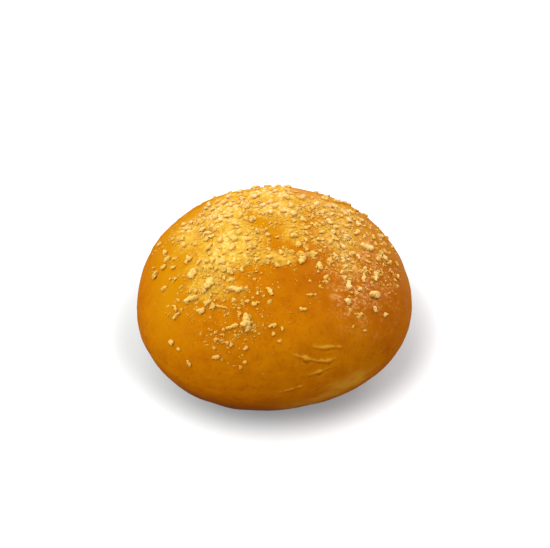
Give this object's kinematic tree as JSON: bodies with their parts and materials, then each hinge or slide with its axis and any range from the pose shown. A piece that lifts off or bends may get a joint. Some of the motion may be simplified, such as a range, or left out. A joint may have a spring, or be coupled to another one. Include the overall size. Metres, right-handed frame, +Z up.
{
  "type": "bun",
  "caption": "Round soft milk bun with an egg-washed golden crust and baked-on crumb topping, resting on a flat base.",
  "frame": {"origin": "on the surface the bun stands on, under the middle of its outline", "axes": "+Z up through the top of the dome, -Y towards the side with the stretch wrinkles, +X to that side's right"},
  "size_m": [0.0999, 0.0958, 0.0582],
  "materials": {
    "crust": "satin egg-washed bread crust",
    "crumb": "matt baked crumb"
  },
  "bodies": {
    "root": {"bun": "crust"}
  },
  "joints": []
}
